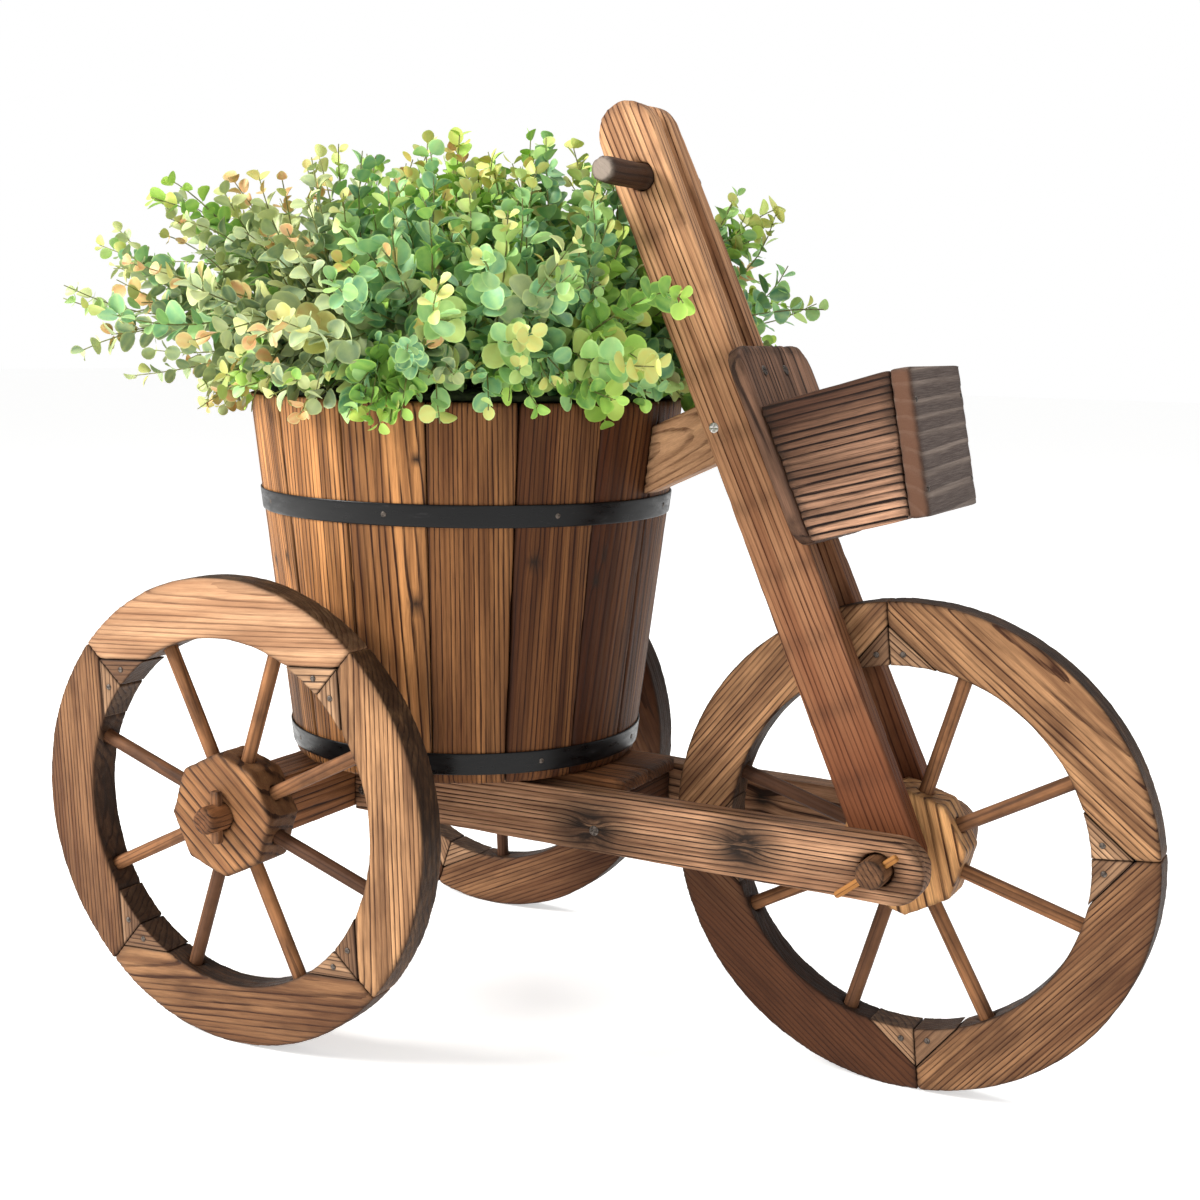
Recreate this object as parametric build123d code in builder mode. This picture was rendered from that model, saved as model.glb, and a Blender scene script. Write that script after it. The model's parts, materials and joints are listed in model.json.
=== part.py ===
from build123d import *
import os
from math import atan, cos, degrees, radians, sin, sqrt

# Wooden tricycle planter: a stave barrel on a three-wheeled chassis, with a
# leaning fork, a handlebar dowel, a small box in front of the fork and a
# lift-out artificial plant.
# Frame: +X towards the front wheel, +Z up, ground at z = 0, y = 0 on the
# centre plane. x = 0 is halfway along the overall length.

os.makedirs("parts", exist_ok=True)

# ---------------------------------------------------------------- dimensions
# wheels
wheel_radius = 150.0
wheel_bore_radius = 111.5          # inner edge of the rim
rim_thickness = 21.0
board_chord = 96.0                 # distance from the centre to a rim board's straight inner edge
hub_flats = 74.0                   # octagonal hub, across the flats
hub_thickness = 28.0
spoke_radius = 4.6
spoke_count = 8
spoke_socket = 12.0                # depth of the spoke sockets
glue_gap = 0.1                     # radial gap round glued dowels, nails and screws
corner_gap = 0.15                  # glue line between a corner piece and its boards

# chassis
wheelbase = 389.5
rear_track = 312.8                 # between the middles of the rear rims
board_height = 38.0                # rails and fork boards are cut from one stock
rail_thickness = 18.0
rail_outer_y = 57.0
rail_centre_z = 149.0
rail_reach = 28.0                  # rail end in front of the front axle
rail_hole_radius = 10.25
beam_side = 37.0
journal_radius = 9.0
running_gap = 0.06                 # radial clearance of each hub on its journal
end_play = 1.0                     # hub to beam shoulder, and hub to peg
rear_journal_end = 187.0
front_axle_half = 70.0
deck_thickness = 10.0
deck_top_z = 173.0
deck_front = 175.0                 # behind the front axle
stretcher_thickness = 14.0
stretcher_bottom_z = 131.0

# fork, handlebar and brace
fork_lean = 65.6                   # degrees above horizontal, leaning back
fork_thickness = 15.0
fork_spread = 31.5                 # outer face from the centre plane at the axle
fork_taper = 0.025                 # how fast each board leans in towards the other
fork_length = 466.0                # axle to the centre of the rounded top
fork_axle_hole_radius = 9.3
handlebar_radius = 8.0
handlebar_seat_radius = 8.4        # fatter middle held by the fork boards
handlebar_seat_half = 21.6
handlebar_right_reach = 71.0       # from the middle plane to each end
handlebar_left_reach = 52.0
handlebar_station = 436.0          # along the fork from the axle
brace_station = 277.0
brace_half_thickness = 9.0

# box in front of the fork
plate_thickness = 10.0
plate_bottom_station = 189.0
plate_top_station = 314.0
plate_right = -46.0
plate_left = 62.0
plate_corner = 15.0
box_left = 50.0
box_tilt = 16.4                    # degrees, slope of the box's top edge
box_bottom_station = 190.0
box_top_station = 275.0
box_top_depth = 81.0
box_bottom_depth = 61.0
box_side_thickness = 10.0
box_front_thickness = 12.0
box_floor_thickness = 8.0

# barrel
barrel_back = 317.0                # barrel axis behind the front axle
barrel_height = 238.0
barrel_foot_radius = 115.7
barrel_rim_radius = 143.5
stave_count = 16
stave_thickness = 11.0
stave_seam = 0.25                  # degrees left open between neighbouring staves
floor_lift = 13.0                  # barrel floor above the staves' lower ends
floor_thickness = 12.0
hoop_thickness = 1.2
hoop_height = 14.0
upper_hoop_lift = 163.0            # hoop's lower edge above the staves' lower ends
lower_hoop_lift = 6.5
hoop_nail_count = 8

# plant
plug_depth = 36.0
plug_clearance = 15.0              # keeps the plug free of the staves while it lifts out at a slant
lip_overlap = 4.0
lip_thickness = 4.0
lip_gap = 0.3
canopy_reach = 235.0               # barrel axis to the canopy's furthest point along X and Y
canopy_centre_lift = 51.0          # widest ring's height above the barrel's rim
cluster_radius = 38.0              # each cluster of leaves is a round pad on its own stem
cluster_thickness = 10.0
low_ring_drop = 26.0               # lowest ring of clusters, below the widest ring's height
low_ring_count = 16
middle_ring_radius = 196.0
middle_ring_lift = 60.0
middle_ring_count = 14
middle_ring_pitch = 47.0           # degrees that its clusters face upward
upper_ring_radius = 106.0
upper_ring_lift = 106.0
upper_ring_count = 7
upper_ring_pitch = 74.0
crown_lift = 122.0
fork_room = 62.0                   # cluster middles stay this far behind the fork's middle plane
fork_room_half = 125.0             # unless they are further than this to either side of it
stem_radius = 2.5
stem_foot_share = 0.55             # stem feet lie this share of the way out to their clusters

# fasteners
screw_head_radius = 3.2
screw_radius = 1.6
screw_proud = 0.4
nail_head_radius = 1.8
nail_radius = 0.9
nail_proud = 0.4
head_height = 1.4

# ------------------------------------------------------------ derived places
front_limit = wheel_radius
rear_limit = barrel_back + canopy_reach
front_axle_x = (rear_limit - front_limit) / 2
rear_axle_x = front_axle_x - wheelbase
barrel_x = front_axle_x - barrel_back
axle_z = wheel_radius
rail_inner_y = rail_outer_y - rail_thickness
rail_front_x = front_axle_x + rail_reach
beam_front_x = rear_axle_x + beam_side / 2
deck_front_x = front_axle_x - deck_front
rear_hub_outer_y = rear_track / 2 + hub_thickness / 2
rear_hub_inner_y = rear_track / 2 - hub_thickness / 2
rim_z = deck_top_z + barrel_height
barrel_flare = (barrel_rim_radius - barrel_foot_radius) / barrel_height

fork_up = Vector(-cos(radians(fork_lean)), 0, sin(radians(fork_lean)))
fork_forward = Vector(sin(radians(fork_lean)), 0, cos(radians(fork_lean)))
axle_point = Vector(front_axle_x, 0, axle_z)


def barrel_radius(lift):
    """Outer radius of the staves at a height above their lower ends."""
    return barrel_foot_radius + barrel_flare * lift


def fork_point(station, forward=0.0, across=0.0):
    """A point by its distance along the fork, ahead of its middle plane, and across."""
    return axle_point + fork_up * station + fork_forward * forward + Vector(0, across, 0)


def fork_outer_y(station):
    return fork_spread - fork_taper * station


def wheel_plane(centre, across):
    """Plane of a wheel's face, looking along -Y, with local x forward and local y up."""
    return Plane(origin=centre + Vector(0, across, 0), x_dir=(1, 0, 0), z_dir=(0, -1, 0))


def radial_plane(centre, angle, distance):
    """Plane whose normal points away from a wheel's centre at an angle in the XZ plane."""
    outward = Vector(cos(radians(angle)), 0, sin(radians(angle)))
    return Plane(origin=centre + outward * distance, x_dir=(0, 1, 0), z_dir=outward)


def facing(point, normal):
    """Location on a surface, its local Z along the surface's outward normal."""
    x_dir = Vector(1, 0, 0) if abs(Vector(*normal).X) < 0.5 else Vector(0, 1, 0)
    return Plane(origin=point, x_dir=x_dir, z_dir=normal).location


def drive_fasteners(places, length, radius, head_radius, proud, grow=0.0, mode=Mode.ADD):
    """Screws or nails at their places, or with grow and SUBTRACT the holes for them."""
    down = (Align.CENTER, Align.CENTER, Align.MAX)
    top = [place * Location((0, 0, proud)) for place in places]
    with Locations(*top):
        Cylinder(head_radius + grow, head_height + grow, align=down, mode=mode)
        Cylinder(radius + grow, length + grow, align=down, mode=mode)


def screws(places, length, grow=0.0, mode=Mode.ADD):
    drive_fasteners(places, length, screw_radius, screw_head_radius, screw_proud, grow, mode)


def nails(places, length, grow=0.0, mode=Mode.ADD):
    drive_fasteners(places, length, nail_radius, nail_head_radius, nail_proud, grow, mode)


def save(piece, name):
    piece.part.label = name
    export_step(piece.part, f"parts/{name}.step")


# -------------------------------------------------------------------- wheels
def build_wheel(prefix, centre, joint_angle, outer_side):
    """Four mitred rim boards, paired corner pieces, spokes, hub and nails of one wheel.

    joint_angle is the direction of the first mitre joint, in degrees from
    forward, and outer_side is -1 or 1 for the side the nails are driven from.
    """
    spoke_angles = [joint_angle + 360 / spoke_count * (k + 0.5) for k in range(spoke_count)]
    hub_radius = hub_flats / 2
    spoke_start = hub_radius - spoke_socket
    spoke_length = wheel_bore_radius + spoke_socket - spoke_start
    socket_radius = spoke_radius + glue_gap
    outward_from = (Align.CENTER, Align.CENTER, Align.MIN)
    back_plane = wheel_plane(centre, rim_thickness / 2)

    # a board's wedge: 90 degrees between mitres, cut straight at the chord
    far = 2 * wheel_radius
    wedge = [(board_chord, -board_chord), (far, -far), (far, far), (board_chord, board_chord)]
    for k in range(4):
        with BuildPart() as board:
            with BuildSketch(back_plane):
                Circle(wheel_radius)
                Circle(wheel_bore_radius, mode=Mode.SUBTRACT)
                Polygon(*wedge, rotation=joint_angle + 45 + 90 * k, align=None, mode=Mode.INTERSECT)
            extrude(amount=rim_thickness)
            for angle in spoke_angles[2 * k:2 * k + 2]:
                with Locations(radial_plane(centre, angle, spoke_start).location):
                    Cylinder(socket_radius, spoke_length + glue_gap, align=outward_from, mode=Mode.SUBTRACT)
        save(board, f"{prefix}_rim_board_{k + 1}")

    nail_places = []
    for k in range(4):
        for side in (-1, 1):
            angle = joint_angle + 90 * k + 4 * side
            spot = radial_plane(centre, angle, wheel_bore_radius + 7).origin
            face = spot + Vector(0, outer_side * rim_thickness / 2, 0)
            nail_places.append(facing(face, (0, outer_side, 0)))
    nail_length = 12.0

    corner_tip = board_chord * sqrt(2) - corner_gap * sqrt(2)
    corner_base = corner_tip - 60
    corner_halves = [
        [(corner_tip - corner_gap, side * corner_gap), (corner_base, side * 60), (corner_base, side * corner_gap)]
        for side in (-1, 1)
    ]
    with BuildPart() as corners:
        for k in range(4):
            with BuildSketch(back_plane):
                Circle(wheel_radius)
                Circle(wheel_bore_radius, mode=Mode.SUBTRACT)
                with BuildSketch(mode=Mode.PRIVATE) as halves:
                    for half in corner_halves:
                        Polygon(*half, rotation=joint_angle + 90 * k, align=None)
                add(halves.sketch, mode=Mode.INTERSECT)
            extrude(amount=rim_thickness)
        nails(nail_places, nail_length, glue_gap, Mode.SUBTRACT)
    save(corners, f"{prefix}_rim_corners")

    with BuildPart() as rim_nails:
        nails(nail_places, nail_length)
    save(rim_nails, f"{prefix}_rim_nails")

    with BuildPart() as spokes:
        for angle in spoke_angles:
            with Locations(radial_plane(centre, angle, spoke_start).location):
                Cylinder(spoke_radius, spoke_length, align=outward_from)
    save(spokes, f"{prefix}_spokes")

    with BuildPart() as hub:
        with BuildSketch(wheel_plane(centre, hub_thickness / 2)):
            RegularPolygon(hub_radius, 8, major_radius=False, rotation=joint_angle)
            Circle(journal_radius + running_gap, mode=Mode.SUBTRACT)
        extrude(amount=hub_thickness)
        for angle in spoke_angles:
            with Locations(radial_plane(centre, angle, spoke_start - glue_gap).location):
                Cylinder(socket_radius, spoke_length, align=outward_from, mode=Mode.SUBTRACT)
    save(hub, f"{prefix}_hub")


build_wheel("front", axle_point, 6.4, -1)
build_wheel("rear_right", Vector(rear_axle_x, -rear_track / 2, axle_z), 49.4, -1)
build_wheel("rear_left", Vector(rear_axle_x, rear_track / 2, axle_z), 71.0, 1)

# ----------------------------------------------------------------- rear beam
peg_width = 7.0
peg_depth = 5.0
rear_peg_length = 34.0
rear_peg_y = rear_hub_outer_y + end_play + peg_depth / 2

with BuildPart() as rear_axle_beam:
    with Locations((rear_axle_x, 0, axle_z)):
        Box(beam_side, 2 * (rear_hub_inner_y - end_play), beam_side)
        Cylinder(journal_radius, 2 * rear_journal_end, rotation=(90, 0, 0))
    with Locations((rear_axle_x, rear_peg_y, axle_z), (rear_axle_x, -rear_peg_y, axle_z)):
        Box(peg_width + 0.2, peg_depth + 0.2, 3 * journal_radius, mode=Mode.SUBTRACT)
save(rear_axle_beam, "rear_axle_beam")

with BuildPart() as rear_axle_pegs:
    with Locations((rear_axle_x, rear_peg_y, axle_z), (rear_axle_x, -rear_peg_y, axle_z)):
        Box(peg_width, peg_depth, rear_peg_length)
save(rear_axle_pegs, "rear_axle_pegs")

# ---------------------------------------------------------------- front axle
front_peg_radius = 2.4
front_peg_length = 46.0
front_peg_y = rail_outer_y + end_play + front_peg_radius
front_peg_slope = 39.0             # degrees, the pegs run down towards the back
front_peg_slide = 6.0              # pegs stand out further on their lower side
peg_direction = Vector(-cos(radians(front_peg_slope)), 0, -sin(radians(front_peg_slope)))
front_peg_places = [
    Plane(
        origin=axle_point + peg_direction * front_peg_slide + Vector(0, side * front_peg_y, 0),
        x_dir=(0, 1, 0),
        z_dir=peg_direction,
    ).location
    for side in (-1, 1)
]

with BuildPart() as front_axle:
    with Locations(axle_point):
        Cylinder(journal_radius, 2 * front_axle_half, rotation=(90, 0, 0))
    with Locations(*front_peg_places):
        Cylinder(front_peg_radius + glue_gap, front_peg_length, mode=Mode.SUBTRACT)
save(front_axle, "front_axle")

with BuildPart() as front_axle_pegs:
    with Locations(*front_peg_places):
        Cylinder(front_peg_radius, front_peg_length)
save(front_axle_pegs, "front_axle_pegs")

# ------------------------------------------------------- rails and stretcher
stretcher_x = deck_front_x - 3 - stretcher_thickness / 2
cleat_x = beam_front_x + stretcher_thickness / 2
stretcher_top_z = deck_top_z - deck_thickness
stretcher_height = stretcher_top_z - stretcher_bottom_z
rail_screw_z = 144.0
rail_screw_places = [
    facing(Vector(x, side * rail_outer_y, rail_screw_z), (0, side, 0))
    for x in (stretcher_x, cleat_x)
    for side in (-1, 1)
]
rail_screw_length = 28.0
rail_length = rail_front_x - beam_front_x

for side, name in ((-1, "rail_right"), (1, "rail_left")):
    with BuildPart() as rail:
        with BuildSketch(Plane.XZ.offset(-side * rail_outer_y)):
            with Locations(((rail_front_x + beam_front_x) / 2, rail_centre_z)):
                Rectangle(rail_length, board_height)
            front_corners = vertices().group_by(Axis.X)[-1]
            fillet(front_corners, board_height / 2 - 1)
            with Locations((front_axle_x, axle_z)):
                Circle(rail_hole_radius, mode=Mode.SUBTRACT)
        extrude(amount=side * rail_thickness)
        screws(rail_screw_places, rail_screw_length, glue_gap, Mode.SUBTRACT)
    save(rail, name)

with BuildPart() as stretchers:
    for x in (stretcher_x, cleat_x):
        with Locations((x, 0, stretcher_bottom_z)):
            Box(
                stretcher_thickness,
                2 * rail_inner_y,
                stretcher_height,
                align=(Align.CENTER, Align.CENTER, Align.MIN),
            )
    screws(rail_screw_places, rail_screw_length, glue_gap, Mode.SUBTRACT)
save(stretchers, "stretchers")

with BuildPart() as rail_screws:
    screws(rail_screw_places, rail_screw_length)
save(rail_screws, "rail_screws")

# two deck boards between the rails carry the barrel
deck_seam = 0.5
deck_width = rail_inner_y - 0.6 - deck_seam / 2
for side, name in ((-1, "deck_board_right"), (1, "deck_board_left")):
    with BuildPart() as deck_board:
        with Locations((beam_front_x + 0.2, side * (deck_seam / 2 + deck_width / 2), deck_top_z)):
            Box(
                deck_front_x - beam_front_x - 0.2,
                deck_width,
                deck_thickness,
                align=(Align.MIN, Align.CENTER, Align.MAX),
            )
    save(deck_board, name)

# ---------------------------------------------------------------------- fork
board_up = Vector(fork_up.X, fork_taper, fork_up.Z).normalized()
fork_plane = Plane(
    origin=axle_point + Vector(0, -fork_spread, 0),
    x_dir=fork_forward,
    z_dir=fork_forward.cross(board_up),
)
fork_screw_length = 24.0
fork_screw_places = [fork_plane * Location((-11.8, brace_station, 0))]
handlebar_point = fork_point(handlebar_station)
plate_screw_stations = (plate_top_station - 17, plate_bottom_station + 22)
plate_screw_length = 26.0
fork_face = board_height / 2
plate_screw_places = [
    facing(
        fork_point(
            station,
            fork_face + plate_thickness,
            side * (fork_outer_y(station) - fork_thickness / 2),
        ),
        fork_forward,
    )
    for station in plate_screw_stations
    for side in (-1, 1)
]


def mirrored(place):
    """The same place on the other side of the centre plane."""
    plane = Plane(place)
    origin = Vector(plane.origin.X, -plane.origin.Y, plane.origin.Z)
    normal = Vector(plane.z_dir.X, -plane.z_dir.Y, plane.z_dir.Z)
    return Plane(origin=origin, x_dir=plane.x_dir, z_dir=normal).location


with BuildPart() as fork_board_right:
    with BuildSketch(fork_plane):
        with Locations((0, fork_length / 2)):
            SlotCenterToCenter(fork_length, board_height, rotation=90)
    extrude(amount=-fork_thickness)
    with Locations(axle_point):
        Cylinder(fork_axle_hole_radius, 4 * fork_spread, rotation=(90, 0, 0), mode=Mode.SUBTRACT)
    with Locations(handlebar_point):
        Cylinder(
            handlebar_seat_radius + glue_gap, 2 * fork_spread, rotation=(90, 0, 0), mode=Mode.SUBTRACT
        )
    screws(fork_screw_places, fork_screw_length, glue_gap, Mode.SUBTRACT)
    screws(plate_screw_places, plate_screw_length, glue_gap, Mode.SUBTRACT)
save(fork_board_right, "fork_board_right")

with BuildPart() as fork_board_left:
    add(mirror(fork_board_right.part, about=Plane.XZ))
save(fork_board_left, "fork_board_left")

with BuildPart() as handlebar:
    with Locations(handlebar_point + Vector(0, (handlebar_left_reach - handlebar_right_reach) / 2, 0)):
        Cylinder(handlebar_radius, handlebar_left_reach + handlebar_right_reach, rotation=(90, 0, 0))
    end_rims = handlebar.edges().filter_by(GeomType.CIRCLE)
    chamfer(end_rims, 0.8)
    with Locations(handlebar_point):
        Cylinder(handlebar_seat_radius, 2 * handlebar_seat_half, rotation=(90, 0, 0))
save(handlebar, "handlebar")

# -------------------------------------------------- brace from fork to barrel
brace_plane = Plane(origin=fork_point(brace_station), x_dir=fork_forward, z_dir=(0, -1, 0))
brace_front = fork_face - 2
brace_back = 130.0
all_fork_screws = fork_screw_places + [mirrored(place) for place in fork_screw_places]

with BuildPart() as brace_board:
    with BuildSketch(brace_plane):
        with Locations((brace_front, 0)):
            Rectangle(brace_front + brace_back, board_height, align=(Align.MAX, Align.CENTER))
    extrude(amount=brace_half_thickness, both=True)
    with Locations((barrel_x, 0, deck_top_z)):
        Cone(
            barrel_radius(0) + 0.1,
            barrel_radius(barrel_height) + 0.1,
            barrel_height,
            align=(Align.CENTER, Align.CENTER, Align.MIN),
            mode=Mode.SUBTRACT,
        )
    screws(all_fork_screws, fork_screw_length, glue_gap, Mode.SUBTRACT)
save(brace_board, "brace_board")

with BuildPart() as fork_screws:
    screws(all_fork_screws, fork_screw_length)
save(fork_screws, "fork_screws")

# ------------------------------------------------------- box ahead of the fork
plate_plane = Plane(
    origin=fork_point(0, fork_face), x_dir=(0, -1, 0), z_dir=fork_forward
)
plate_width = plate_left - plate_right
plate_height = plate_top_station - plate_bottom_station

with BuildPart() as box_back_plate:
    with BuildSketch(plate_plane):
        plate_middle = (plate_top_station + plate_bottom_station) / 2
        with Locations((-(plate_left + plate_right) / 2, -plate_middle)):
            Rectangle(plate_width, plate_height)
        top_corners = vertices().group_by(Axis.Z)[-1]
        fillet(top_corners, plate_corner)
    extrude(amount=plate_thickness)
    screws(plate_screw_places, plate_screw_length, glue_gap, Mode.SUBTRACT)
save(box_back_plate, "box_back_plate")

with BuildPart() as box_plate_screws:
    screws(plate_screw_places, plate_screw_length)
save(box_plate_screws, "box_plate_screws")

tilt_along = Vector(cos(radians(box_tilt)), 0, sin(radians(box_tilt)))
box_face = fork_face + plate_thickness
rear_top = fork_point(box_top_station, box_face)
rear_bottom = fork_point(box_bottom_station, box_face)
front_top = rear_top + tilt_along * box_top_depth
front_bottom = rear_bottom + tilt_along * box_bottom_depth
front_up = (front_top - front_bottom).normalized()
front_out = Vector(front_up.Z, 0, -front_up.X)
box_nail_length = 22.0

box_front_nails = [
    facing(front_bottom + front_up * lift + front_out * box_front_thickness
           + Vector(0, across, 0), front_out)
    for lift in (16, 66)
    for across in (plate_right + box_side_thickness / 2, box_left - box_side_thickness / 2)
]

for outer_y, name in ((plate_right, "box_side_right"), (box_left - box_side_thickness, "box_side_left")):
    with BuildPart() as box_side:
        with BuildSketch(Plane.XZ.offset(-outer_y)):
            with BuildLine():
                Polyline(
                    (rear_bottom.X, rear_bottom.Z),
                    (front_bottom.X, front_bottom.Z),
                    (front_top.X, front_top.Z),
                    (rear_top.X, rear_top.Z),
                    close=True,
                )
            make_face()
        extrude(amount=-box_side_thickness)
        nails(box_front_nails, box_nail_length, glue_gap, Mode.SUBTRACT)
    save(box_side, name)

front_height = (front_top - front_bottom).length
box_front_plane = Plane(origin=front_bottom, x_dir=(0, 1, 0), z_dir=front_out)
with BuildPart() as box_front:
    with BuildSketch(box_front_plane):
        with Locations((plate_right, 0)):
            Rectangle(box_left - plate_right, front_height, align=(Align.MIN, Align.MIN))
    extrude(amount=box_front_thickness)
    nails(box_front_nails, box_nail_length, glue_gap, Mode.SUBTRACT)
save(box_front, "box_front")

with BuildPart() as box_nails:
    nails(box_front_nails, box_nail_length)
save(box_nails, "box_nails")

# the floor lies between the two sides, from the back plate to the front
floor_up = Vector(-sin(radians(box_tilt)), 0, cos(radians(box_tilt)))
rear_slope = (rear_top - rear_bottom).normalized()
floor_rear = rear_bottom + rear_slope * (box_floor_thickness / rear_slope.dot(floor_up))
floor_front = front_bottom + front_up * (box_floor_thickness / front_up.dot(floor_up))
floor_width = box_left - plate_right - 2 * box_side_thickness - 0.4
with BuildPart() as box_floor:
    with BuildSketch(Plane.XZ.offset(-(plate_right + box_side_thickness + 0.2))):
        with BuildLine():
            Polyline(
                (rear_bottom.X, rear_bottom.Z),
                (front_bottom.X, front_bottom.Z),
                (floor_front.X, floor_front.Z),
                (floor_rear.X, floor_rear.Z),
                close=True,
            )
        make_face()
    extrude(amount=-floor_width)
save(box_floor, "box_floor")

# -------------------------------------------------------------------- barrel
barrel_axis = Axis((barrel_x, 0, 0), (0, 0, 1))
barrel_section = Plane(origin=(barrel_x, 0, deck_top_z), x_dir=(1, 0, 0), z_dir=(0, -1, 0))


def hoop_nail_places(lift):
    """Nails round a hoop, square to the sloping staves."""
    places = []
    for k in range(hoop_nail_count):
        angle = radians(360 / hoop_nail_count * (k + 0.25))
        reach = barrel_radius(lift) + hoop_thickness
        point = Vector(barrel_x + reach * cos(angle), reach * sin(angle), deck_top_z + lift)
        normal = Vector(cos(angle), sin(angle), -barrel_flare).normalized()
        places.append(Plane(origin=point, x_dir=(-sin(angle), cos(angle), 0), z_dir=normal).location)
    return places


upper_nails = hoop_nail_places(upper_hoop_lift + hoop_height / 2)
lower_nails = hoop_nail_places(lower_hoop_lift + hoop_height / 2)
hoop_nail_length = 8.0

with BuildPart() as barrel_staves:
    stave_arc = 360 / stave_count
    for k in range(stave_count):
        start = radians(stave_arc * k + stave_seam / 2)
        radial = Vector(cos(start), sin(start), 0)
        section = Plane(
            origin=(barrel_x, 0, deck_top_z), x_dir=radial, z_dir=radial.cross(Vector(0, 0, 1))
        )
        with BuildSketch(section):
            with BuildLine():
                Polyline(
                    (barrel_radius(0) - stave_thickness, 0),
                    (barrel_radius(0), 0),
                    (barrel_radius(barrel_height), barrel_height),
                    (barrel_radius(barrel_height) - stave_thickness, barrel_height),
                    close=True,
                )
            make_face()
        revolve(axis=barrel_axis, revolution_arc=stave_arc - stave_seam)
    nails(upper_nails + lower_nails, hoop_nail_length, glue_gap, Mode.SUBTRACT)
save(barrel_staves, "barrel_staves")

for lift, places, name in (
    (upper_hoop_lift, upper_nails, "upper_hoop"),
    (lower_hoop_lift, lower_nails, "lower_hoop"),
):
    inner_low = barrel_radius(lift) + 0.05
    inner_high = barrel_radius(lift + hoop_height) + 0.05
    with BuildPart() as hoop:
        with BuildSketch(barrel_section):
            with BuildLine():
                Polyline(
                    (inner_low, lift),
                    (inner_low + hoop_thickness, lift),
                    (inner_high + hoop_thickness, lift + hoop_height),
                    (inner_high, lift + hoop_height),
                    close=True,
                )
            make_face()
        revolve(axis=barrel_axis)
        nails(places, hoop_nail_length, glue_gap, Mode.SUBTRACT)
    save(hoop, name)

with BuildPart() as hoop_nails:
    nails(upper_nails + lower_nails, hoop_nail_length)
save(hoop_nails, "hoop_nails")

with BuildPart() as barrel_floor:
    with Locations((barrel_x, 0, deck_top_z + floor_lift)):
        Cylinder(
            barrel_radius(floor_lift) - stave_thickness - 0.2,
            floor_thickness,
            align=(Align.CENTER, Align.CENTER, Align.MIN),
        )
save(barrel_floor, "barrel_floor")

# --------------------------------------------------------------------- plant
barrel_mouth = barrel_rim_radius - stave_thickness
lip_bottom = barrel_height + lip_gap
with BuildPart() as plant_base:
    with BuildSketch(barrel_section):
        with BuildLine():
            Polyline(
                (0, lip_bottom - plug_depth),
                (barrel_mouth - plug_clearance - 6, lip_bottom - plug_depth),
                (barrel_mouth - plug_clearance, lip_bottom),
                (barrel_mouth + lip_overlap, lip_bottom),
                (barrel_mouth + lip_overlap, lip_bottom + lip_thickness),
                (0, lip_bottom + lip_thickness),
                close=True,
            )
        make_face()
    revolve(axis=barrel_axis)
save(plant_base, "plant_base")

canopy_z = rim_z + canopy_centre_lift
half_step = radians(180 / low_ring_count)
low_ring_radius = (canopy_reach - cluster_radius * sin(half_step)) / cos(half_step)


def ring_of_clusters(count, radius, height, pitch):
    """Outer faces of a ring's clusters, leaving out the ones that the fork needs room for."""
    faces = []
    for k in range(count):
        turn = radians(360 / count * (k + 0.5))
        rise = radians(pitch)
        normal = Vector(cos(turn) * cos(rise), sin(turn) * cos(rise), sin(rise))
        point = Vector(barrel_x + radius * cos(turn), radius * sin(turn), height)
        behind_fork = (point - axle_point).dot(fork_forward) < -fork_room
        if behind_fork or abs(point.Y) > fork_room_half:
            faces.append((point, normal))
    return faces


cluster_faces = (
    ring_of_clusters(low_ring_count, low_ring_radius, canopy_z - low_ring_drop, 0)
    + ring_of_clusters(middle_ring_count, middle_ring_radius, canopy_z + middle_ring_lift, middle_ring_pitch)
    + ring_of_clusters(upper_ring_count, upper_ring_radius, canopy_z + upper_ring_lift, upper_ring_pitch)
    + [(Vector(barrel_x, 0, canopy_z + crown_lift), Vector(0, 0, 1))]
)

with BuildPart() as foliage:
    for point, normal in cluster_faces:
        with Locations(facing(point, normal)):
            Cylinder(cluster_radius, cluster_thickness, align=(Align.CENTER, Align.CENTER, Align.MAX))
save(foliage, "foliage")

# a straight stem from the plant's base to the middle of each cluster's back
stem_foot_z = lip_bottom + lip_thickness + deck_top_z + 2 * stem_radius
barrel_top = Vector(barrel_x, 0, stem_foot_z)
with BuildPart() as foliage_stems:
    for point, normal in cluster_faces:
        back = point - normal * cluster_thickness
        outward = Vector(point.X - barrel_x, point.Y, 0)
        foot_reach = min(outward.length * stem_foot_share, barrel_mouth - 4 * stem_radius)
        foot = barrel_top + (outward.normalized() * foot_reach if outward.length else Vector(0, 0, 0))
        run = back - foot
        # stops short of the cluster by as much as the slanting end needs
        slant = sqrt(max(0, 1 - run.normalized().dot(normal) ** 2))
        stem_length = run.length - glue_gap - stem_radius * slant / max(run.normalized().dot(normal), 0.2)
        with Locations(Plane(origin=foot, z_dir=run.normalized()).location):
            Cylinder(stem_radius, stem_length, align=(Align.CENTER, Align.CENTER, Align.MIN))
save(foliage_stems, "foliage_stems")
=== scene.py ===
import json
import math
import random

import bmesh
import bpy
import numpy as np
from mathutils import Matrix, Vector


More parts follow.
